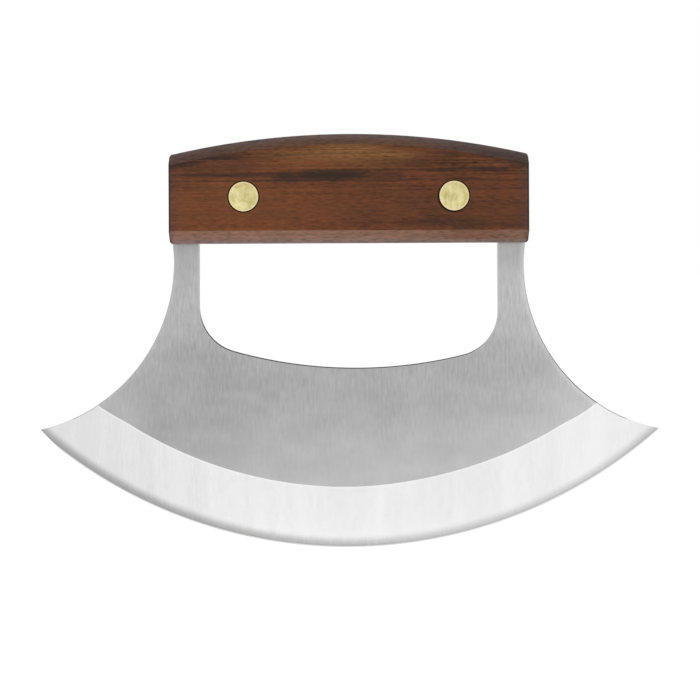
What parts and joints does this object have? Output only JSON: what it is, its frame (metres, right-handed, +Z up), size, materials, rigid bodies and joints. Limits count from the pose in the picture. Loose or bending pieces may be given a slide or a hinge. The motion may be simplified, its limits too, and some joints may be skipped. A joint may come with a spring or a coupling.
{
  "type": "ulu knife",
  "caption": "Ulu knife: a curved stainless blade with a ground bevel on posts beside a finger window, under a riveted walnut handle, for rocking cuts.",
  "frame": {"origin": "midway between the tips and through the plate's thickness, level with the lowest point of the cutting edge, with the knife upright on its edge", "axes": "+X along the handle to the right as the front is seen, +Y from the front to the back, +Z up from the edge to the handle"},
  "size_m": [0.165, 0.019, 0.11],
  "materials": {
    "stainless_plate": "brushed across the flats, finely ground on the bevel and honed along the edge",
    "walnut": "oiled, red-brown with a dark streak",
    "brass": "ground flush and lightly brushed"
  },
  "bodies": {
    "root": {"blade": "stainless_plate", "front_scale": "walnut", "back_scale": "walnut", "rivet_left_barrel": "brass", "rivet_left_pin": "brass", "rivet_right_barrel": "brass", "rivet_right_pin": "brass"}
  },
  "joints": []
}
